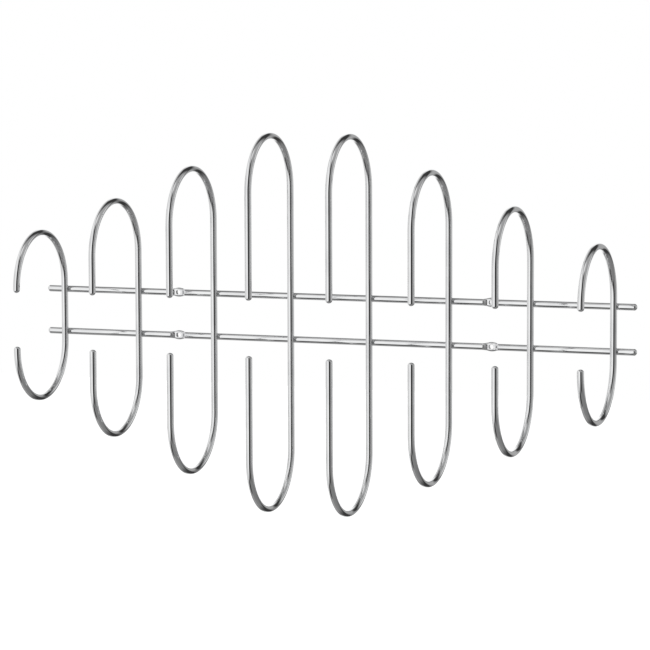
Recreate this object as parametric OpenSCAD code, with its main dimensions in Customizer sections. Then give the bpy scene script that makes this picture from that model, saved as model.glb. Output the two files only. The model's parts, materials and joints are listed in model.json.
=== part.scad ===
// Wall hook rack. Two horizontal rails carry eight C-shaped wire hooks that stand square to the wall.
// Each rail is one wire, drawn as its plain lengths and the two screw eyelets that are pressed into it.
// The hooks are tallest in the middle of the rack and step down towards both ends.
// +Z is up and -Y points away from the wall.
// The origin lies on the wall, midway between the four screw holes.

/* [Wire] */
// Diameter of the wire that the hooks are bent from
hook_d = 6; // [5:0.5:8]
// Diameter of the wire that the two rails are cut from
rail_d = 6; // [5:0.5:8]
// Height of the dome on each cut end of a wire
dome_h = 2.2; // [0.6:0.1:2.4]

/* [Hooks] */
// Number of hooks, an even number
hook_count = 8; // [6:2:12]
// Distance from one hook to the next
hook_pitch = 75; // [40:1:120]
// Radius of the two bends of a hook, to the middle of the wire
bend_r = 48; // [20:1:80]
// Gap between the upper tip and the lower tip of a hook
tip_gap = 48; // [40:1:120]
// Straight run from a bend to its tip on the outermost hooks, dome included
end_tip_run = 3; // [2.5:0.1:20]
// How much longer that run is on a hook than on its outer neighbour
tip_run_step = 30; // [0:1:60]

/* [Rails] */
// Distance between the middles of the two rails
rail_gap = 39; // [20:0.5:48]
// How far a rail runs past the middle of the outermost hook
rail_overhang = 19.5; // [8:0.5:60]

/* [Screw eyelets] */
// Number of hook spaces from the middle of the rack to an eyelet
eyelet_space = 2; // [1:1:2]
// Diameter of the screw hole
hole_d = 4.3; // [3:0.1:5.5]
// Thickness of the flattened wire
eyelet_t = 3.6; // [2.5:0.1:4.4]
// How far the flattened wire swells above and below the rail
eyelet_swell = 1.2; // [0.6:0.1:2]
// Length of the flat front face that the screw head bears on
eyelet_flat = 8; // [6:0.5:16]
// Length of each slope from that flat face up to the round rail
eyelet_slope = 2.6; // [1:0.1:6]
// How far an eyelet stands out behind the rail, towards the wall
eyelet_stand = 0.3; // [0.2:0.1:1.5]
// Length of round wire at each end of an eyelet, up to where the plain lengths of the rail begin
eyelet_root = 1; // [0.5:0.1:3]

/* [Welds] */
// Depth by which a hook is pressed into a rail
weld_sink = 0.6; // [0.4:0.1:1]
// How far the ring of weld metal stays inside the outline of the thinner wire
weld_inset = 0.4; // [0.3:0.1:0.8]

/* [Hidden] */
ROWS = ["upper", "lower"];
$fn = 96;

wire_colour = "silver";
weld_colour = "darkgray";

// How far a cutter runs past the surface that it cuts
over = 1;

hook_r = hook_d / 2;
rail_r = rail_d / 2;
rail_z = rail_gap / 2;
rail_y = -(rail_r + eyelet_stand);
rail_front_y = rail_y - rail_r;
rail_half_l = (hook_count - 1) * hook_pitch / 2 + rail_overhang;
// Middle of the back leg and of the tips of every hook
back_y = rail_y - (rail_r + hook_r - weld_sink);
tip_y = back_y - 2 * bend_r;

eyelet_x = eyelet_space * hook_pitch;
eyelet_half_h = rail_r + eyelet_swell;
// The swelling is a lens whose two arcs meet the outline of the rail half way up the slopes
lens_meet_x = (eyelet_flat + eyelet_slope) / 2;
lens_arc_r = (lens_meet_x * lens_meet_x + eyelet_swell * eyelet_swell) / (2 * eyelet_swell);
lens_half_l = sqrt(eyelet_half_h * (2 * lens_arc_r - eyelet_half_h));
eyelet_half_l = max(lens_half_l, eyelet_flat / 2 + eyelet_slope) + eyelet_root;

weld_r = min(hook_r, rail_r) - weld_inset;

function row_z(row) = row == "upper" ? rail_z : -rail_z;

// Hooks are numbered from 1 at the -X end
function hook_x(i) = (i - (hook_count + 1) / 2) * hook_pitch;
function steps_from_end(i) = min(i, hook_count + 1 - i) - 1;
function tip_run(i) = end_tip_run + steps_from_end(i) * tip_run_step;
function leg_half(i) = tip_gap / 2 + tip_run(i);

// Round wire that stands on z = 0 and ends in a dome at the given length
module domed_wire(r, length) {
    dome_r = (r * r + dome_h * dome_h) / (2 * dome_h);
    rotate_extrude() {
        square([r, length - dome_h]);
        translate([0, length - dome_h])
            intersection() {
                square([r, dome_h]);
                translate([0, dome_h - dome_r])
                    circle(dome_r);
            }
    }
}

// The part of a hook's back leg that lies across a rail, at the middle of that rail
module leg_at_rail() {
    translate([0, back_y, 0])
        cylinder(h = 2 * (rail_r + over), r = hook_r, center = true);
}

// The part of a rail that lies behind a hook
module rail_at_leg() {
    translate([0, rail_y, 0])
        rotate([0, 90, 0])
            cylinder(h = 2 * (hook_r + over), r = rail_r, center = true);
}

// Flattened wire of an eyelet
module eyelet_plate() {
    rotate([90, 0, 0])
        linear_extrude(eyelet_t)
            intersection() {
                translate([0, eyelet_half_h - lens_arc_r])
                    circle(lens_arc_r);
                translate([0, lens_arc_r - eyelet_half_h])
                    circle(lens_arc_r);
            }
}

// What the press takes off the front of the round rail: a flat floor with a slope at each end
module eyelet_recess() {
    floor_x = eyelet_flat / 2;
    floor_y = -eyelet_t;
    mouth_y = rail_front_y - over;
    mouth_x = floor_x + eyelet_slope * (mouth_y - floor_y) / (rail_front_y - floor_y);
    linear_extrude(2 * (eyelet_half_h + over), center = true)
        polygon([[-floor_x, floor_y], [floor_x, floor_y], [mouth_x, mouth_y], [-mouth_x, mouth_y]]);
}

module screw_hole() {
    translate([0, over, 0])
        rotate([90, 0, 0])
            cylinder(h = eyelet_t + 2 * over, d = hole_d);
}

// The seats that the back legs are pressed into, all along a rail at z = 0
module hook_seats() {
    for (i = [1:hook_count])
        translate([hook_x(i), 0, 0])
            leg_at_rail();
}

// Plain length of a rail between its two eyelets
module rail_middle(row) {
    color(wire_colour)
        translate([0, 0, row_z(row)])
            difference() {
                translate([0, rail_y, 0])
                    rotate([0, 90, 0])
                        cylinder(h = 2 * (eyelet_x - eyelet_half_l), r = rail_r, center = true);
                hook_seats();
            }
}

// Plain length of a rail from an eyelet out to the domed end, on the left (side -1) or the right (side 1)
module rail_end(row, side) {
    root_x = eyelet_x + eyelet_half_l;
    color(wire_colour)
        translate([0, 0, row_z(row)])
            difference() {
                translate([side * root_x, rail_y, 0])
                    rotate([0, side * 90, 0])
                        domed_wire(rail_r, rail_half_l - root_x);
                hook_seats();
            }
}

// Screw eyelet that the rail's own wire is pressed into, on the left (side -1) or the right (side 1)
module eyelet(row, side) {
    color(wire_colour)
        translate([side * eyelet_x, 0, row_z(row)])
            difference() {
                union() {
                    difference() {
                        translate([0, rail_y, 0])
                            rotate([0, 90, 0])
                                cylinder(h = 2 * eyelet_half_l, r = rail_r, center = true);
                        eyelet_recess();
                    }
                    eyelet_plate();
                }
                screw_hole();
            }
}

// Upper bend of a hook with the tip that hangs from it, for the back leg that ends at the given height
module bend_and_tip(leg_top, run) {
    translate([0, (back_y + tip_y) / 2, leg_top])
        rotate([90, 0, 90])
            rotate_extrude(angle = 180)
                translate([bend_r, 0])
                    circle(hook_r);
    translate([0, tip_y, leg_top])
        rotate([180, 0, 0])
            domed_wire(hook_r, run);
}

// Hook number i: a back leg, and a bend with a tip at each end of it
module hook(i) {
    color(wire_colour)
        translate([hook_x(i), 0, 0]) {
            translate([0, back_y, 0])
                cylinder(h = 2 * leg_half(i), r = hook_r, center = true);
            bend_and_tip(leg_half(i), tip_run(i));
            mirror([0, 0, 1])
                bend_and_tip(leg_half(i), tip_run(i));
        }
}

// Ring of weld metal round the spot where hook i is pressed into a rail
module weld(row, i) {
    color(weld_colour)
        translate([hook_x(i), 0, row_z(row)])
            difference() {
                translate([0, rail_y, 0])
                    rotate([90, 0, 0])
                        cylinder(h = rail_y - back_y, r = weld_r);
                rail_at_leg();
                leg_at_rail();
            }
}

for (row = ROWS) {
    rail_end(row, -1);
    rail_middle(row);
    rail_end(row, 1);
    eyelet(row, -1);
    eyelet(row, 1);
}
for (i = [1:hook_count]) {
    hook(i);
    for (row = ROWS)
        weld(row, i);
}
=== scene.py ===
import json
import math
from collections import namedtuple

import bmesh
import bpy
from mathutils import Matrix, Vector


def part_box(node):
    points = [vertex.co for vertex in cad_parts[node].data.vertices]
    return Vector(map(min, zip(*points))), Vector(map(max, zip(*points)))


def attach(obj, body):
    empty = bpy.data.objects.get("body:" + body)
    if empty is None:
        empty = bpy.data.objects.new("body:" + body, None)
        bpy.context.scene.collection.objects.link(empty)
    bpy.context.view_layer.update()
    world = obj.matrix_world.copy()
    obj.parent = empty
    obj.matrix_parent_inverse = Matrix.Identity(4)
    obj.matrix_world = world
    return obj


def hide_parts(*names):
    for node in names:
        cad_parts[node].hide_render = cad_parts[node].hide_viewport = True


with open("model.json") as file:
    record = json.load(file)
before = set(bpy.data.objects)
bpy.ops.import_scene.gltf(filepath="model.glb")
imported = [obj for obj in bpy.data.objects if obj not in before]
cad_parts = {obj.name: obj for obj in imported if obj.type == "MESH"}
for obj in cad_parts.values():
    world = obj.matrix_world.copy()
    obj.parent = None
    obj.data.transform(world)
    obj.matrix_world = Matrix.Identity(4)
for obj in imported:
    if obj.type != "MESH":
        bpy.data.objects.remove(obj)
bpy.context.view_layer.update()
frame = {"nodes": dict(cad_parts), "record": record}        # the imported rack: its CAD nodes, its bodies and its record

bl_info = {
    "name": "Wall Hook Rack",
    "version": (1, 0, 0),
    "blender": (4, 5, 0),
    "location": "View3D > Sidebar > Hook Rack",
    "description": "Models a chromed wire hook rack round its CAD frame and sets it in a plain studio",
    "category": "Add Mesh",
}

MM = 0.001
BODY = "root"

# Resolution of the meshes
WIRE_SIDES = 64
BEND_STEPS = 96
DOME_STEPS = 10
DOME_EDGE_SEGMENTS = 3
EYELET_STEPS = 42
RIM_STEPS = 5
COLLAR_RINGS = 8
HAIR = 0.01 * MM           # two places closer than this are the same place
DOUBLES = HAIR / 10        # vertices closer than this are merged
CREASE = math.radians(40)  # edges sharper than this stay crisp

ROWS = ("upper", "lower")
RAIL_PARTS = ("rail_left", "eyelet_left", "rail_middle", "eyelet_right", "rail_right")
HOOK_COUNT = sum(name.startswith("hook_") for name in frame["nodes"])


# --- Sizes measured on the CAD nodes --------------------------------------------------------------------

LENGTH_STEP = 0.05 * MM


def true_length(value):
    """A length measured on a CAD mesh to the nearest step, as its facets fall a hair short of the curve."""
    return round(value / LENGTH_STEP) * LENGTH_STEP


def corners(name):
    """Lowest and highest corner of a CAD node."""
    return [Vector(map(true_length, corner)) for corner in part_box(name)]


def middle(name):
    """Middle of a CAD node's box."""
    low, high = corners(name)
    return (low + high) / 2


def extent(name):
    """Size of a CAD node's box."""
    low, high = corners(name)
    return high - low


def hook_x(number):
    """Place of a hook along the rails."""
    return middle(f"hook_{number}").x


def bend_radius_of(number):
    """Radius of a hook's two bends, to the middle of the wire."""
    size = extent(f"hook_{number}")
    return (size.y - size.x) / 2


def tip_points(number):
    """Corners of a hook's CAD mesh that belong to its two tips, apart from the bends."""
    low, high = corners(f"hook_{number}")
    wire = high.x - low.x
    top = high.z - wire / 2 - bend_radius_of(number)
    points = [v.co for v in frame["nodes"][f"hook_{number}"].data.vertices]
    return [p for p in points if p.y < low.y + wire + HAIR and abs(p.z) < top + HAIR]


def tip_gap_of(number):
    """Distance between the two tips of a hook."""
    return 2 * true_length(min(abs(p.z) for p in tip_points(number)))


def tip_run_of(number):
    """Length of a tip from the end of its bend, dome included."""
    low, high = corners(f"hook_{number}")
    return high.z - (high.x - low.x) / 2 - bend_radius_of(number) - tip_gap_of(number) / 2


def dome_height_of(number):
    """Distance from the end of a tip back to where the wire has its full diameter."""
    low, high = corners(f"hook_{number}")
    radius = (high.x - low.x) / 2
    axis = Vector(((low.x + high.x) / 2, low.y + radius))
    full = [p for p in tip_points(number) if (p.xy - axis).length > radius - HAIR]
    return true_length(min(abs(p.z) for p in full)) - tip_gap_of(number) / 2


def screw_pattern():
    """The record's dimensions of the four screw holes."""
    return next(m["dims"] for m in frame["record"]["mounts"] if m["kind"] == "bolt_pattern")


def eyelet_thickness_of(name):
    """Thickness of the pressed wire, from the rim of its screw hole."""
    centre = middle(name)
    reach = screw_pattern()["hole_r_mm"] * MM + 5 * HAIR
    rim = [v.co.y for v in frame["nodes"][name].data.vertices
           if math.hypot(v.co.x - centre.x, v.co.z - centre.z) < reach]
    return true_length(max(rim) - min(rim))


class HookSizes(bpy.types.PropertyGroup):
    """Sizes of the hooks."""
    wire: bpy.props.FloatProperty(
        name="Wire", description="Diameter of the wire that the hooks are bent from",
        default=extent("hook_1").x, unit="LENGTH")
    bend_radius: bpy.props.FloatProperty(
        name="Bend radius", description="Radius of the two bends, to the middle of the wire",
        default=bend_radius_of(1), unit="LENGTH")
    tip_gap: bpy.props.FloatProperty(
        name="Tip gap", description="Distance between the upper and the lower tip of a hook",
        default=tip_gap_of(1), unit="LENGTH")
    shortest_tip: bpy.props.FloatProperty(
        name="Shortest tip", description="Length of a tip on the outermost hooks, dome included",
        default=tip_run_of(1), unit="LENGTH")
    tip_step: bpy.props.FloatProperty(
        name="Tip step", description="How much longer a tip is than on the next hook outwards",
        default=tip_run_of(2) - tip_run_of(1), unit="LENGTH")
    back_y: bpy.props.FloatProperty(
        name="Back leg", description="Place of the back legs' middle in front of the wall, below zero",
        default=corners("hook_1")[1].y - extent("hook_1").x / 2, unit="LENGTH")
    dome_height: bpy.props.FloatProperty(
        name="Dome", description="Height of the dome on each cut end of a wire",
        default=dome_height_of(1), unit="LENGTH")
    dome_edge: bpy.props.FloatProperty(
        name="Dome edge", description="Width of the rounding where a dome meets the wire",
        default=0.35 * MM, unit="LENGTH")


class RailSizes(bpy.types.PropertyGroup):
    """Sizes of the rails and their eyelets."""
    wire: bpy.props.FloatProperty(
        name="Wire", description="Diameter of the wire that the rails are cut from",
        default=extent("upper_rail_middle").z, unit="LENGTH")
    length: bpy.props.FloatProperty(
        name="Length", description="Length of a rail from dome to dome",
        default=corners("upper_rail_right")[1].x - corners("upper_rail_left")[0].x, unit="LENGTH")
    gap: bpy.props.FloatProperty(
        name="Gap", description="Distance between the middles of the two rails",
        default=middle("upper_rail_middle").z - middle("lower_rail_middle").z, unit="LENGTH")
    axis_y: bpy.props.FloatProperty(
        name="Axis", description="Place of the rails' middle in front of the wall, below zero",
        default=middle("upper_rail_middle").y, unit="LENGTH")
    eyelet_x: bpy.props.FloatProperty(
        name="Eyelet", description="Distance of the eyelets from the middle of the rack",
        default=middle("upper_eyelet_right").x, unit="LENGTH")
    eyelet_length: bpy.props.FloatProperty(
        name="Eyelet length", description="Length of wire that the press changes at an eyelet",
        default=extent("upper_eyelet_right").x, unit="LENGTH")
    eyelet_height: bpy.props.FloatProperty(
        name="Eyelet height", description="Height of the swollen wire at the screw hole",
        default=extent("upper_eyelet_right").z, unit="LENGTH")
    eyelet_thickness: bpy.props.FloatProperty(
        name="Eyelet thickness", description="Thickness of the pressed wire at the screw hole",
        default=eyelet_thickness_of("upper_eyelet_right"), unit="LENGTH")
    eyelet_flat: bpy.props.FloatProperty(
        name="Eyelet flat", description="Length of the flat face that the screw head bears on",
        default=8 * MM, unit="LENGTH")
    eyelet_slope: bpy.props.FloatProperty(
        name="Eyelet slope", description="Length of each slope from the flat face up to the round wire",
        default=2.6 * MM, unit="LENGTH")
    hole: bpy.props.FloatProperty(
        name="Hole", description="Diameter of the screw holes",
        default=screw_pattern()["hole_r_mm"] * 2 * MM, unit="LENGTH")
    hole_edge: bpy.props.FloatProperty(
        name="Hole edge", description="Width of the rounding round the rim of a screw hole",
        default=0.3 * MM, unit="LENGTH")


class WeldSizes(bpy.types.PropertyGroup):
    """Sizes of the welds."""
    diameter: bpy.props.FloatProperty(
        name="Diameter", description="Diameter of the collar of weld metal between a hook and a rail",
        default=extent("weld_upper_1").x, unit="LENGTH")
    waist: bpy.props.FloatProperty(
        name="Waist", description="How far the collar draws in half way between the two wires",
        default=0.3 * MM, unit="LENGTH")


class ChromeLooks(bpy.types.PropertyGroup):
    """Looks of the plating."""
    bright: bpy.props.FloatVectorProperty(
        name="Bright chrome", description="Colour of the cleanest plating",
        subtype="COLOR", size=3, min=0, max=1, default=(0.925, 0.93, 0.935))
    dull: bpy.props.FloatVectorProperty(
        name="Dull chrome", description="Colour of the thinnest plating",
        subtype="COLOR", size=3, min=0, max=1, default=(0.82, 0.825, 0.835))
    # The weld colour is far darker than the plating. It is painted shade and painted reflection: it stands in
    # for the contact shadow and the hook leg's reflection at each crossing.
    weld: bpy.props.FloatVectorProperty(
        name="Weld", description="Colour of the plated weld metal",
        subtype="COLOR", size=3, min=0, max=1, default=(0.56, 0.57, 0.58))
    roughness: bpy.props.FloatProperty(
        name="Roughness", description="Roughness of the polished plating",
        default=0.022, min=0, max=1, subtype="FACTOR")
    ripple: bpy.props.FloatProperty(
        name="Ripple", description="Strength of the waves in the plating",
        default=0.05, min=0, max=1, subtype="FACTOR")


class StudioLooks(bpy.types.PropertyGroup):
    """The floor, and where the camera stands."""
    floor: bpy.props.FloatVectorProperty(
        name="Floor", description="Colour of the floor",
        subtype="COLOR", size=3, min=0, max=1, default=(0.93, 0.93, 0.93))
    floor_drop: bpy.props.FloatProperty(
        name="Floor drop", description="Distance from the middle of the rack down to the floor",
        default=1.1, unit="LENGTH")
    azimuth: bpy.props.FloatProperty(
        name="Azimuth", description="Angle of the camera round the rack, from straight in front towards +X",
        default=math.radians(21.77), unit="ROTATION")
    elevation: bpy.props.FloatProperty(
        name="Elevation", description="Angle of the camera above the rack",
        default=math.radians(5.72), unit="ROTATION")
    roll: bpy.props.FloatProperty(
        name="Roll", description="Turn of the camera about its line of sight",
        default=math.radians(-0.20), unit="ROTATION")
    distance: bpy.props.FloatProperty(
        name="Distance", description="Distance of the camera from the point that it looks at",
        default=2.778, unit="LENGTH")
    lens: bpy.props.FloatProperty(
        name="Lens", description="Focal length of the camera in millimetres",
        default=172.6, min=10)


# --- Modelling by hand, in code -------------------------------------------------------------------------

def deselect_all():
    """Leaves no object selected."""
    for item in bpy.context.selected_objects:
        item.select_set(False)


def make_active(piece):
    """Selects one piece alone and makes it the active one."""
    deselect_all()
    piece.select_set(True)
    bpy.context.view_layer.objects.active = piece


def edit(piece):
    """Opens a piece in edit mode, by vertices."""
    make_active(piece)
    bpy.ops.object.mode_set(mode="EDIT")
    bpy.ops.mesh.select_mode(type="VERT")


def leave_edit():
    """Goes back to object mode."""
    bpy.ops.object.mode_set(mode="OBJECT")


def pick(piece, wanted):
    """Selects the vertices of the piece in edit mode for whose place wanted() holds, and counts them."""
    mesh = bmesh.from_edit_mesh(piece.data)
    for vertex in mesh.verts:
        vertex.select = False
    mesh.select_flush(False)
    count = 0
    for vertex in mesh.verts:
        if wanted(vertex.co):
            vertex.select = True
            count += 1
    mesh.select_flush(True)
    bmesh.update_edit_mesh(piece.data)
    if not count:
        raise RuntimeError(f"nothing to select on {piece.name}")
    return count


def add_ring(name, radius, place, normal):
    """A new piece that is one ring of wire outline, square to the unit vector normal, left in edit mode."""
    turn = Vector((0, 0, 1)).rotation_difference(Vector(normal)).to_euler()
    deselect_all()
    bpy.ops.mesh.primitive_circle_add(vertices=WIRE_SIDES, radius=radius, location=place, rotation=turn)
    piece = bpy.context.object
    piece.name = piece.data.name = name
    bpy.ops.object.transform_apply(location=True, rotation=True, scale=True)
    edit(piece)
    bpy.ops.mesh.select_all(action="SELECT")
    return piece


def push(way):
    """Extrudes what is selected along way."""
    bpy.ops.mesh.extrude_region_move(TRANSFORM_OT_translate={"value": tuple(way)})


def scale(value, centre):
    """Scales what is selected about centre."""
    bpy.ops.transform.resize(value=tuple(value), center_override=tuple(centre))


def push_dome(piece, place, normal, radius, height, edge):
    """Closes the selected ring at place with a dome along the unit vector normal, and rounds its edge."""
    place, normal = Vector(place), Vector(normal)
    ball = (radius * radius + height * height) / (2 * height)
    rim_angle = math.asin(radius / ball)
    rise, width = 0.0, radius
    for step in range(1, DOME_STEPS + 1):
        angle = rim_angle * (1 - step / DOME_STEPS)
        new_rise = ball * (math.cos(angle) - math.cos(rim_angle))
        new_width = ball * math.sin(angle)
        push(normal * (new_rise - rise))
        share = new_width / width
        scale([1 if n else share for n in normal], place + normal * new_rise)
        rise, width = new_rise, new_width
    bpy.ops.mesh.merge(type="CENTER")
    pick(piece, lambda co: abs((co - place).dot(normal)) < HAIR and (co - place).length < radius + HAIR)
    bpy.ops.mesh.bevel(offset=edge, segments=DOME_EDGE_SEGMENTS, affect="EDGES")


def apply_modifier(piece, kind, **settings):
    """Adds a modifier to the piece and applies it."""
    make_active(piece)
    bpy.ops.object.modifier_add(type=kind)
    modifier = piece.modifiers[-1]
    for setting, value in settings.items():
        setattr(modifier, setting, value)
    bpy.ops.object.modifier_apply(modifier=modifier.name)


def tidy_shell(piece):
    """Merges doubles, turns all faces outwards and shades the piece smooth between its creases."""
    edit(piece)
    bpy.ops.mesh.select_all(action="SELECT")
    bpy.ops.mesh.remove_doubles(threshold=DOUBLES)
    bpy.ops.mesh.normals_make_consistent(inside=False)
    leave_edit()
    make_active(piece)
    bpy.ops.object.shade_smooth_by_angle(angle=CREASE)


def copy_moved(piece, name, way):
    """A copy of the piece with its own mesh, moved along way."""
    make_active(piece)
    bpy.ops.object.duplicate(linked=False)
    twin = bpy.context.object
    twin.name = twin.data.name = name
    edit(twin)
    bpy.ops.mesh.select_all(action="SELECT")
    bpy.ops.transform.translate(value=tuple(way))
    leave_edit()
    return twin


def finish_piece(piece, material, nodes):
    """Gives the piece its finish and its place in the frame."""
    piece.data.materials.clear()
    piece.data.materials.append(material)
    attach(piece, BODY)
    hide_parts(*nodes)


# --- Hooks ----------------------------------------------------------------------------------------------

def bend_hook(name, x, tip_run, sizes):
    """Bends one wire: a back leg, a half turn over the top with a tip hanging from it, and the same below."""
    radius = sizes.wire / 2
    leg_top = sizes.tip_gap / 2 + tip_run
    hook = add_ring(name, radius, (x, sizes.back_y, 0), (0, 0, 1))
    push((0, 0, leg_top))
    centre = Vector((x, sizes.back_y - sizes.bend_radius, leg_top))
    bpy.ops.mesh.spin(steps=BEND_STEPS, angle=math.pi, center=centre, axis=(-1, 0, 0))
    dome_base = Vector((x, sizes.back_y - 2 * sizes.bend_radius, sizes.tip_gap / 2 + sizes.dome_height))
    push((0, 0, dome_base.z - leg_top))
    push_dome(hook, dome_base, (0, 0, -1), radius, sizes.dome_height, sizes.dome_edge)
    leave_edit()
    apply_modifier(hook, "MIRROR", use_axis=(False, False, True), merge_threshold=HAIR)
    tidy_shell(hook)
    return hook


# --- Rails ----------------------------------------------------------------------------------------------

# How much deeper than the pressed wire the swollen wire would be, which sets how wide the flats are
FLAT_SHARE = 1.32
# How far the swelling and the thinning run on past the slopes
SWELL_REACH = 1.15
THIN_REACH = 1.12
# Room left round the screw hole in its window, as a share of the rounding of its rim
RIM_ROOM = 1.2


def bell(away, reach):
    """Falls smoothly from 1 in the middle to 0 at reach."""
    return 0.5 + 0.5 * math.cos(math.pi * min(abs(away) / reach, 1.0))


def press_reach(sizes):
    """Distance from the middle of an eyelet to the end of its slopes."""
    return sizes.eyelet_flat / 2 + sizes.eyelet_slope


def swelling(away, sizes):
    """Height of the wire as a multiple of the round wire's, at that distance from the middle of an eyelet."""
    return 1 + bell(away, SWELL_REACH * press_reach(sizes)) * (sizes.eyelet_height / sizes.wire - 1)


def press_ring(rail, x, centre, sizes):
    """Presses the ring of the rail's wire at x, near the eyelet whose middle is at centre."""
    away = abs(x - centre.x)
    half_flat = sizes.eyelet_flat / 2
    thickness = sizes.eyelet_thickness
    pressed = bell(max(0.0, away - half_flat), THIN_REACH * press_reach(sizes) - half_flat)
    thin = 1 + pressed * (FLAT_SHARE * thickness / sizes.wire - 1)
    shift = pressed * (-thickness / 2 - sizes.axis_y)
    rise = sizes.wire / 2 - sizes.axis_y - thickness
    front = -thickness - max(0.0, away - half_flat) / sizes.eyelet_slope * rise

    def at_x(co):
        return abs(co.x - x) < HAIR

    pick(rail, at_x)
    scale((1, thin, swelling(away, sizes)), centre)
    bpy.ops.transform.translate(value=(0, shift, 0))
    for y, side in ((front, -1), (0.0, 1)):
        reach = max(side * v.co.y for v in bmesh.from_edit_mesh(rail.data).verts if at_x(v.co))
        if reach > side * y:
            pick(rail, lambda co: at_x(co) and side * co.y > side * y)
            scale((1, 0, 1), (x, y, centre.z))


def window_test(rail, centre, y, sizes):
    """A test for the corners of the flat at y in the smallest window of whole faces round the screw hole."""
    clear = sizes.hole / 2 + RIM_ROOM * sizes.hole_edge
    half_flat = sizes.eyelet_flat / 2

    def across(co):
        """Distance from the middle of the eyelet along the rail, and up the wire as it was before it swelled."""
        away = abs(co.x - centre.x)
        return away, abs(co.z - centre.z) / swelling(away, sizes)

    mesh = bmesh.from_edit_mesh(rail.data)
    flat = [across(v.co) for v in mesh.verts
            if abs(v.co.y - y) < HAIR and abs(v.co.x - centre.x) < half_flat]
    side = min((away for away, _ in flat if away > clear), default=None)
    top = min((up for _, up in flat if up > clear / swelling(0, sizes)), default=None)
    if side is None or top is None:
        raise RuntimeError("the screw hole is too wide for the flat of the eyelet")

    def in_window(co, inset=-HAIR):
        away, up = across(co)
        return abs(co.y - y) < HAIR and away < side - inset and up < top - inset

    return in_window


def open_window(rail, in_window):
    """Takes the faces out of a window, and counts the corners of its outline."""
    pick(rail, in_window)
    bpy.ops.mesh.delete(type="ONLY_FACE")
    pick(rail, lambda co: in_window(co, inset=HAIR))
    bpy.ops.mesh.delete(type="VERT")
    return pick(rail, in_window)


def hole_profile(sizes):
    """Places along the wall of the screw hole as (y, radius), from its front rim to its back rim."""
    front, edge, radius = -sizes.eyelet_thickness, sizes.hole_edge, sizes.hole / 2
    turns = [math.pi / 2 * step / RIM_STEPS for step in range(RIM_STEPS + 1)]
    rim = [(edge * (1 - math.cos(turn)), radius + edge * (1 - math.sin(turn))) for turn in turns]
    return [(front + depth, wide) for depth, wide in rim] + [(-depth, wide) for depth, wide in reversed(rim)]


def drill_eyelet(rail, centre, sizes):
    """Makes the screw hole between the two flats of an eyelet."""
    front_window = window_test(rail, centre, -sizes.eyelet_thickness, sizes)
    back_window = window_test(rail, centre, 0.0, sizes)
    rim_count = open_window(rail, front_window)
    open_window(rail, back_window)
    (y, radius), *rest = hole_profile(sizes)
    bpy.ops.mesh.primitive_circle_add(vertices=rim_count, radius=radius,
                                      location=(centre.x, y, centre.z), rotation=(math.pi / 2, 0, 0))
    pick(rail, front_window)
    bpy.ops.mesh.bridge_edge_loops()

    def on_rim(co):
        return abs(co.y - y) < HAIR and math.hypot(co.x - centre.x, co.z - centre.z) < radius + HAIR

    pick(rail, on_rim)
    last_y = y
    for y, new_radius in rest:
        push((0, y - last_y, 0))
        share = new_radius / radius
        scale((share, 1, share), (centre.x, y, centre.z))
        last_y, radius = y, new_radius
    pick(rail, back_window)
    bpy.ops.mesh.bridge_edge_loops()


def press_rail(name, z, sizes, hooks):
    """One rail: half of it is drawn out, pressed, drilled and domed, and the other half mirrors it."""
    radius = sizes.wire / 2
    centre = Vector((sizes.eyelet_x, sizes.axis_y, z))
    step = sizes.eyelet_length / EYELET_STEPS
    inner_x = sizes.eyelet_x - sizes.eyelet_length / 2
    rail = add_ring(name, radius, (0, sizes.axis_y, z), (1, 0, 0))
    push((inner_x, 0, 0))
    for _ in range(EYELET_STEPS):
        push((step, 0, 0))
    dome_base = Vector((sizes.length / 2 - hooks.dome_height, sizes.axis_y, z))
    push((dome_base.x - inner_x - sizes.eyelet_length, 0, 0))
    push_dome(rail, dome_base, (1, 0, 0), radius, hooks.dome_height, hooks.dome_edge)
    for ring in range(1, EYELET_STEPS):
        press_ring(rail, inner_x + ring * step, centre, sizes)
    drill_eyelet(rail, centre, sizes)
    leave_edit()
    apply_modifier(rail, "MIRROR", use_axis=(True, False, False), merge_threshold=HAIR)
    tidy_shell(rail)
    return rail


# --- Welds ----------------------------------------------------------------------------------------------

# Half of the height over which a collar draws in at its waist
WAIST_REACH = 0.5 * MM
# Length of a cutter, in wire diameters
CUTTER_DIAMETERS = 3


def add_cutter(name, radius, place, normal, length):
    """A plain round bar that cuts a collar to the outline of a wire."""
    bar = add_ring(name, radius, Vector(place) - Vector(normal) * length / 2, normal)
    bpy.ops.mesh.edge_face_add()
    push(Vector(normal) * length)
    bpy.ops.mesh.select_all(action="SELECT")
    bpy.ops.mesh.normals_make_consistent(inside=False)
    leave_edit()
    return bar


def squeeze_collar(name, x, z, welds, hooks, rails):
    """One collar of weld metal, drawn in at its waist and cut to fit the two wires that it joins."""
    start_y, end_y = rails.axis_y, hooks.back_y
    depth = start_y - end_y
    radius = welds.diameter / 2
    collar = add_ring(name, radius, (x, start_y, z), (0, -1, 0))
    bpy.ops.mesh.edge_face_add()
    for _ in range(COLLAR_RINGS):
        push((0, -depth / COLLAR_RINGS, 0))
    waist_y = (start_y - rails.wire / 2 + end_y + hooks.wire / 2) / 2
    for ring in range(1, COLLAR_RINGS):
        y = start_y - ring * depth / COLLAR_RINGS
        pick(collar, lambda co: abs(co.y - y) < HAIR)
        near = math.exp(-((y - waist_y) / WAIST_REACH) ** 2)
        share = 1 - near * welds.waist / radius
        scale((share, 1, share), (x, y, z))
    leave_edit()
    for wire, place, way in ((rails.wire, (x, rails.axis_y, z), (1, 0, 0)),
                             (hooks.wire, (x, hooks.back_y, z), (0, 0, 1))):
        cutter = add_cutter("cutter", wire / 2, place, way, CUTTER_DIAMETERS * wire)
        apply_modifier(collar, "BOOLEAN", operation="DIFFERENCE", solver="EXACT", object=cutter)
        bpy.data.objects.remove(cutter)
    tidy_shell(collar)
    return collar


# --- Finishes -------------------------------------------------------------------------------------------

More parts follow.
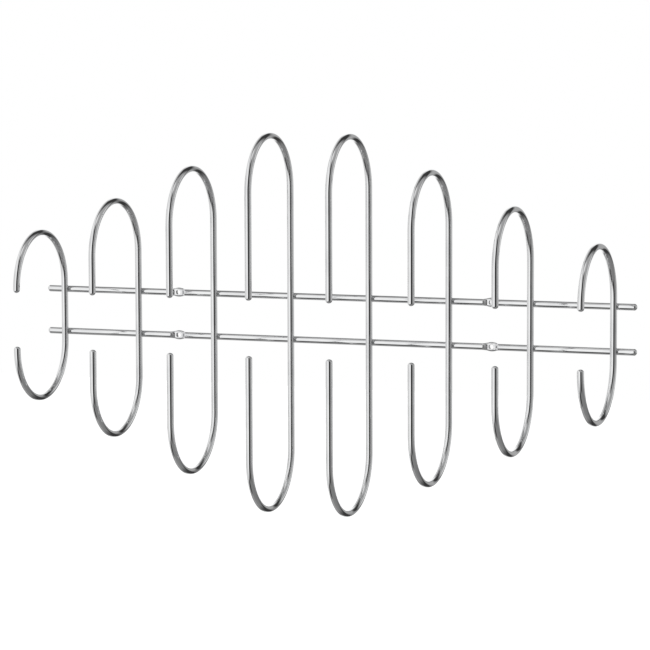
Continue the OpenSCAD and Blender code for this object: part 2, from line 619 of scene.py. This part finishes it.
class Tree:
    """A node tree that is written from left to right."""

    def __init__(self, owner):
        owner.use_nodes = True
        self.nodes, self.links = owner.node_tree.nodes, owner.node_tree.links
        self.nodes.clear()

    def add(self, kind, **inputs):
        """Adds a node. Inputs are values or other nodes' outputs, by socket name or number."""
        node = self.nodes.new(kind)
        for key, value in inputs.items():
            self.set(node, key, value)
        return node

    def set(self, node, key, value):
        """Sets one input of a node to a value or to another node's output. in2 is the input number 2."""
        by_number = key.startswith("in") and key[2:].isdigit()
        socket = node.inputs[int(key[2:]) if by_number else key.replace("_", " ")]
        if isinstance(value, bpy.types.NodeSocket):
            self.links.new(value, socket)
        else:
            socket.default_value = value

    def noise(self, vector, size, detail=3.0, rough=0.5):
        """Noise whose blotches are about that size in metres."""
        node = self.add("ShaderNodeTexNoise", Vector=vector, Scale=1 / size,
                        Detail=detail, Roughness=rough)
        return node.outputs["Fac"]

    def ramp(self, factor, stops):
        """Colours by place along a factor. Stops are (place, grey or colour)."""
        node = self.add("ShaderNodeValToRGB", Fac=factor)
        bar = node.color_ramp.elements
        while len(bar) > 1:
            bar.remove(bar[-1])
        for number, (place, colour) in enumerate(stops):
            element = bar[0] if number == 0 else bar.new(place)
            element.position = place
            grey = (colour,) * 3 if isinstance(colour, (int, float)) else tuple(colour)
            element.color = (*grey, 1.0)
        return node.outputs["Color"]

    def math(self, operation, *values):
        """A calculation on values or other nodes' outputs."""
        node = self.nodes.new("ShaderNodeMath")
        node.operation = operation
        for number, value in enumerate(values):
            self.set(node, f"in{number}", value)
        return node.outputs[0]

    def fit(self, value, low, high, to_low, to_high):
        """Maps low..high onto to_low..to_high, and holds the ends."""
        node = self.add("ShaderNodeMapRange", Value=value, From_Min=low, From_Max=high,
                        To_Min=to_low, To_Max=to_high)
        return node.outputs["Result"]


# Sizes of what can be seen in the plating
CLOUD = 22 * MM
GRAIN = 0.9 * MM
HAZE = 9 * MM
WAVE = 14 * MM
PEEL = 0.7 * MM
PRICK_SPACING = 5 * MM
PRICK_RADIUS = 0.045       # in prick spacings
# Heights of what can be felt in it, against the waves
PEEL_SHARE = 0.008
PRICK_SHARE = 0.05
# Share of the clouds in the tone, the rest being grain
CLOUD_SHARE = 0.7
# Where in the noise the tone goes from dull to bright, and the polish from clear to hazy
DULL_AT, BRIGHT_AT = 0.36, 0.56
CLEAR_AT, HAZY_AT = 0.42, 0.70
# How much rougher the haziest plating is, and how far the weld differs from the wire
HAZE_ROUGHER = 2.4
WELD_DULLER = 0.8
WELD_ROUGHER = 4
WELD_RIPPLE = 3


def chrome(name, bright, dull, roughness, ripple):
    """Chrome plating over steel: cloudy tone and polish, long waves, fine orange peel and a few pin pricks."""
    material = bpy.data.materials.new(name)
    tree = Tree(material)
    place = tree.add("ShaderNodeTexCoord").outputs["Object"]
    cloud = tree.noise(place, CLOUD, detail=4)
    grain = tree.noise(place, GRAIN, detail=5, rough=0.65)
    tone = tree.math("ADD", tree.math("MULTIPLY", cloud, CLOUD_SHARE),
                     tree.math("MULTIPLY", grain, 1 - CLOUD_SHARE))
    colour = tree.ramp(tone, [(DULL_AT, dull), (BRIGHT_AT, bright)])
    haze = tree.noise(place, HAZE, detail=6, rough=0.6)
    rough = tree.fit(haze, CLEAR_AT, HAZY_AT, roughness, roughness * HAZE_ROUGHER)
    peel = tree.noise(place, PEEL, detail=2)
    wave = tree.noise(place, WAVE, detail=1)
    pricks = tree.add("ShaderNodeTexVoronoi", Vector=place, Scale=1 / PRICK_SPACING).outputs["Distance"]
    pit = tree.fit(pricks, 0.0, PRICK_RADIUS, -1.0, 0.0)
    height = tree.math("ADD", wave, tree.math("MULTIPLY", peel, PEEL_SHARE))
    height = tree.math("ADD", height, tree.math("MULTIPLY", pit, PRICK_SHARE))
    bump = tree.add("ShaderNodeBump", Strength=ripple, Distance=1 * MM, Height=height).outputs["Normal"]
    shader = tree.add("ShaderNodeBsdfPrincipled", Base_Color=colour, Metallic=1.0,
                      Roughness=rough, Normal=bump)
    tree.add("ShaderNodeOutputMaterial", Surface=shader.outputs["BSDF"])
    return material


FLOOR_CLOUD = 0.6          # size of the clouds in metres
FLOOR_SHADE = 0.985        # brightness of the darkest parts against the lightest
SHADE_AT, LIGHT_AT = 0.35, 0.65
FLOOR_ROUGHNESS = 0.9
FLOOR_GLOW = 0.75          # keeps the floor as pale as the backdrop


def floor_paint(colour):
    """Matt pale floor with faint broad clouds."""
    material = bpy.data.materials.new("pale_floor")
    tree = Tree(material)
    place = tree.add("ShaderNodeTexCoord").outputs["Object"]
    shade = [c * FLOOR_SHADE for c in colour]
    tone = tree.ramp(tree.noise(place, FLOOR_CLOUD, detail=3), [(SHADE_AT, shade), (LIGHT_AT, colour)])
    shader = tree.add("ShaderNodeBsdfPrincipled", Base_Color=tone, Roughness=FLOOR_ROUGHNESS,
                      Emission_Color=tone, Emission_Strength=FLOOR_GLOW)
    tree.add("ShaderNodeOutputMaterial", Surface=shader.outputs["BSDF"])
    return material


# --- Studio ---------------------------------------------------------------------------------------------

# Brightness of the bare studio by height, from straight down to straight up
STUDIO_BY_HEIGHT = [(-90, 0.24), (-30, 0.20), (0, 0.27), (30, 0.36), (90, 0.40)]

# A card round the rack: its place as the angle from straight in front towards +X and its height, its half
# width and half height, all in degrees, how square it is (2 is round), how soft its edge is, and its brightness
Card = namedtuple("Card", "azimuth elevation half_width half_height square soft brightness")
CARDS = [
    Card(172, 20, 30, 78, 4, 0.20, 0.04),     # dark room behind
    Card(180, 0, 25, 25, 2, 0.16, 0.40),      # pale patch in it
    Card(-5, 84, 60, 24, 2, 0.30, 0.78),      # ceiling softbox
    Card(-118, 64, 42, 13, 3, 0.30, 0.16),    # dark gap above the large panel
    Card(-95, -66, 60, 9, 3, 0.50, 0.40),     # light from under it
    Card(-78, 6, 86, 46, 3, 0.07, 0.71),      # large panel in front and on the left
    Card(-65, 38, 32, 14, 2, 0.50, 0.92),     # its lamps: above
    Card(-125, -26, 18, 10, 2, 0.50, 0.88),   # its lamps: at the back left
    Card(-14, 6, 22, 34, 3, 0.25, 0.95),      # its lamps: in front
    Card(-165, 0, 14, 40, 3, 0.25, 1.00),     # narrow strip at the back left
    Card(-36, -56, 26, 17, 3, 0.15, 0.035),   # dark stand under the panel
    Card(31, 10, 19, 52, 4, 0.08, 0.004),     # dark gap in front
    Card(130, 3, 16, 16, 3, 0.30, 0.78),      # light at the back right
]


def card_mask(tree, turn, height, card):
    """Share of a card in each direction: 1 on it, 0 off it."""
    square = float(card.square)
    across = tree.math("SUBTRACT", turn, math.radians(card.azimuth))
    across = tree.math("WRAP", across, math.pi, -math.pi)
    across = tree.math("DIVIDE", tree.math("ABSOLUTE", across), math.radians(card.half_width))
    up = tree.math("ABSOLUTE", tree.math("SUBTRACT", height, math.radians(card.elevation)))
    up = tree.math("DIVIDE", up, math.radians(card.half_height))
    total = tree.math("ADD", tree.math("POWER", across, square), tree.math("POWER", up, square))
    far = tree.math("POWER", total, 1 / square)
    return tree.fit(far, 1 + card.soft, 1 - card.soft, 0.0, 1.0)


def build_world():
    """Soft studio of cards round the rack, and white for the backdrop."""
    world = bpy.data.worlds.new("studio")
    bpy.context.scene.world = world
    tree = Tree(world)
    ways = tree.add("ShaderNodeTexCoord").outputs["Generated"]
    parts = tree.add("ShaderNodeSeparateXYZ", Vector=ways).outputs
    turn = tree.math("ARCTAN2", parts["X"], tree.math("MULTIPLY", parts["Y"], -1.0))
    height = tree.math("ARCSINE", parts["Z"])
    height_share = tree.fit(height, -math.pi / 2, math.pi / 2, 0.0, 1.0)
    light = tree.ramp(height_share, [((angle + 90) / 180, grey) for angle, grey in STUDIO_BY_HEIGHT])
    for card in CARDS:
        grey = (*(card.brightness,) * 3, 1)
        mask = card_mask(tree, turn, height, card)
        light = tree.add("ShaderNodeMixRGB", Fac=mask, Color1=light, Color2=grey).outputs["Color"]
    soft = tree.add("ShaderNodeBackground", Color=light, Strength=1.0).outputs[0]
    white = tree.add("ShaderNodeBackground", Color=(1, 1, 1, 1), Strength=1.0).outputs[0]
    seen = tree.add("ShaderNodeLightPath").outputs["Is Camera Ray"]
    shown = tree.add("ShaderNodeMixShader", Fac=seen, in1=soft, in2=white).outputs[0]
    tree.add("ShaderNodeOutputWorld", Surface=shown)


TARGET = Vector((-4.5, -8.7, -5.0)) * MM   # point that the camera looks at
CAMERA_REACH = 50.0                        # how far it sees
FLOOR_SIZE = 16.0


def add_camera(studio):
    """Adds the camera, turned round the point that it looks at."""
    az, el = studio.azimuth, studio.elevation
    back = Vector((math.sin(az) * math.cos(el), -math.cos(az) * math.cos(el), math.sin(el)))
    right = Vector((math.cos(az), math.sin(az), 0))
    up = back.cross(right)
    c, s = math.cos(studio.roll), math.sin(studio.roll)
    right, up = c * right + s * up, c * up - s * right
    axes = Matrix((right, up, back)).transposed().to_4x4()
    deselect_all()
    bpy.ops.object.camera_add()
    camera = bpy.context.object
    camera.name = "camera"
    camera.data.lens = studio.lens
    camera.data.clip_end = CAMERA_REACH
    camera.matrix_world = Matrix.Translation(TARGET + back * studio.distance) @ axes
    bpy.context.scene.camera = camera


def add_floor(studio):
    """Adds the floor, which the chrome doesn't mirror."""
    deselect_all()
    bpy.ops.mesh.primitive_plane_add(size=FLOOR_SIZE, location=(0, 0, -studio.floor_drop))
    floor = bpy.context.object
    floor.name = "floor"
    floor.data.materials.append(floor_paint(studio.floor))
    floor.visible_glossy = False


# --- Operators ------------------------------------------------------------------------------------------

def rack_settings():
    """The sizes and looks that the operators work with."""
    return bpy.context.scene.hook_rack


class HOOKRACK_OT_press_rails(bpy.types.Operator):
    """Model the two rails with their pressed screw eyelets"""
    bl_idname = "hook_rack.press_rails"
    bl_label = "Press Rails"

    def execute(self, context):
        rack = rack_settings()
        sizes, looks = rack.rails, rack.chrome
        finish = chrome("rail_chrome", looks.bright, looks.dull, looks.roughness, looks.ripple)
        upper = press_rail("upper_rail_wire", sizes.gap / 2, sizes, rack.hooks)
        lower = copy_moved(upper, "lower_rail_wire", (0, 0, -sizes.gap))
        for row, rail in zip(ROWS, (upper, lower)):
            finish_piece(rail, finish, [f"{row}_{part}" for part in RAIL_PARTS])
        return {"FINISHED"}


class HOOKRACK_OT_bend_hooks(bpy.types.Operator):
    """Model the hooks, from the outermost pair to the middle pair"""
    bl_idname = "hook_rack.bend_hooks"
    bl_label = "Bend Hooks"

    def execute(self, context):
        rack = rack_settings()
        sizes, looks = rack.hooks, rack.chrome
        finish = chrome("hook_chrome", looks.bright, looks.dull, looks.roughness, looks.ripple)
        for step in range(HOOK_COUNT // 2):
            left, right = step + 1, HOOK_COUNT - step
            run = sizes.shortest_tip + step * sizes.tip_step
            hook = bend_hook(f"hook_wire_{left}", hook_x(left), run, sizes)
            twin = copy_moved(hook, f"hook_wire_{right}", (hook_x(right) - hook_x(left), 0, 0))
            finish_piece(hook, finish, [f"hook_{left}"])
            finish_piece(twin, finish, [f"hook_{right}"])
        return {"FINISHED"}


class HOOKRACK_OT_weld_crossings(bpy.types.Operator):
    """Model the collar of weld metal at each crossing of a hook and a rail"""
    bl_idname = "hook_rack.weld_crossings"
    bl_label = "Weld Crossings"

    def execute(self, context):
        rack = rack_settings()
        looks = rack.chrome
        # The weld's darker colour is painted shade: it paints the contact shadow and the hook leg's reflection
        # at each crossing. Its rougher, rippled plating is the weld's own.
        finish = chrome("weld_chrome", looks.weld, [c * WELD_DULLER for c in looks.weld],
                        looks.roughness * WELD_ROUGHER, looks.ripple * WELD_RIPPLE)
        first = None
        for sign, row in zip((1, -1), ROWS):
            z = sign * rack.rails.gap / 2
            for number in range(1, HOOK_COUNT + 1):
                name = f"weld_collar_{row}_{number}"
                if first is None:
                    start = Vector((hook_x(number), 0, z))
                    collar = first = squeeze_collar(name, start.x, z, rack.welds, rack.hooks, rack.rails)
                else:
                    collar = copy_moved(first, name, Vector((hook_x(number), 0, z)) - start)
                finish_piece(collar, finish, [f"weld_{row}_{number}"])
        return {"FINISHED"}


class HOOKRACK_OT_set_studio(bpy.types.Operator):
    """Set the floor, the soft studio light and the camera"""
    bl_idname = "hook_rack.set_studio"
    bl_label = "Set Studio"

    def execute(self, context):
        studio = rack_settings().studio
        add_floor(studio)
        build_world()
        add_camera(studio)
        context.scene.view_settings.view_transform = "Standard"
        return {"FINISHED"}


class HookRackSettings(bpy.types.PropertyGroup):
    """All the sizes and looks of the rack and its studio."""
    hooks: bpy.props.PointerProperty(type=HookSizes, name="Hooks", description="Sizes of the hooks")
    rails: bpy.props.PointerProperty(type=RailSizes, name="Rails", description="Sizes of the rails")
    welds: bpy.props.PointerProperty(type=WeldSizes, name="Welds", description="Sizes of the welds")
    chrome: bpy.props.PointerProperty(type=ChromeLooks, name="Chrome", description="Finish of the wires")
    studio: bpy.props.PointerProperty(type=StudioLooks, name="Studio", description="Floor and camera")


class HOOKRACK_PT_panel(bpy.types.Panel):
    """Lists the steps that make the rack, with their sizes and looks"""
    bl_idname = "HOOKRACK_PT_panel"
    bl_label = "Wall Hook Rack"
    bl_space_type = "VIEW_3D"
    bl_region_type = "UI"
    bl_category = "Hook Rack"

    def draw(self, context):
        rack = context.scene.hook_rack
        for operator, groups in STEPS:
            self.layout.operator(operator.bl_idname)
            for group in groups:
                box = self.layout.box()
                settings = getattr(rack, group)
                for key in settings.bl_rna.properties.keys():
                    if key not in ("rna_type", "name"):
                        box.prop(settings, key)


# Each step's operator, and the groups of settings that it reads first
STEPS = (
    (HOOKRACK_OT_press_rails, ("rails", "chrome")),
    (HOOKRACK_OT_bend_hooks, ("hooks",)),
    (HOOKRACK_OT_weld_crossings, ("welds",)),
    (HOOKRACK_OT_set_studio, ("studio",)),
)
CLASSES = (
    HookSizes, RailSizes, WeldSizes, ChromeLooks, StudioLooks, HookRackSettings,
    *(operator for operator, _ in STEPS), HOOKRACK_PT_panel,
)


def register():
    """Adds the classes and the scene's settings."""
    for cls in CLASSES:
        bpy.utils.register_class(cls)
    bpy.types.Scene.hook_rack = bpy.props.PointerProperty(type=HookRackSettings)


def unregister():
    """Takes them away again."""
    del bpy.types.Scene.hook_rack
    for cls in reversed(CLASSES):
        bpy.utils.unregister_class(cls)


def main():
    """Makes the rack and its studio, step by step."""
    register()
    bpy.ops.hook_rack.press_rails()
    bpy.ops.hook_rack.bend_hooks()
    bpy.ops.hook_rack.weld_crossings()
    bpy.ops.hook_rack.set_studio()


if __name__ == "__main__":
    main()
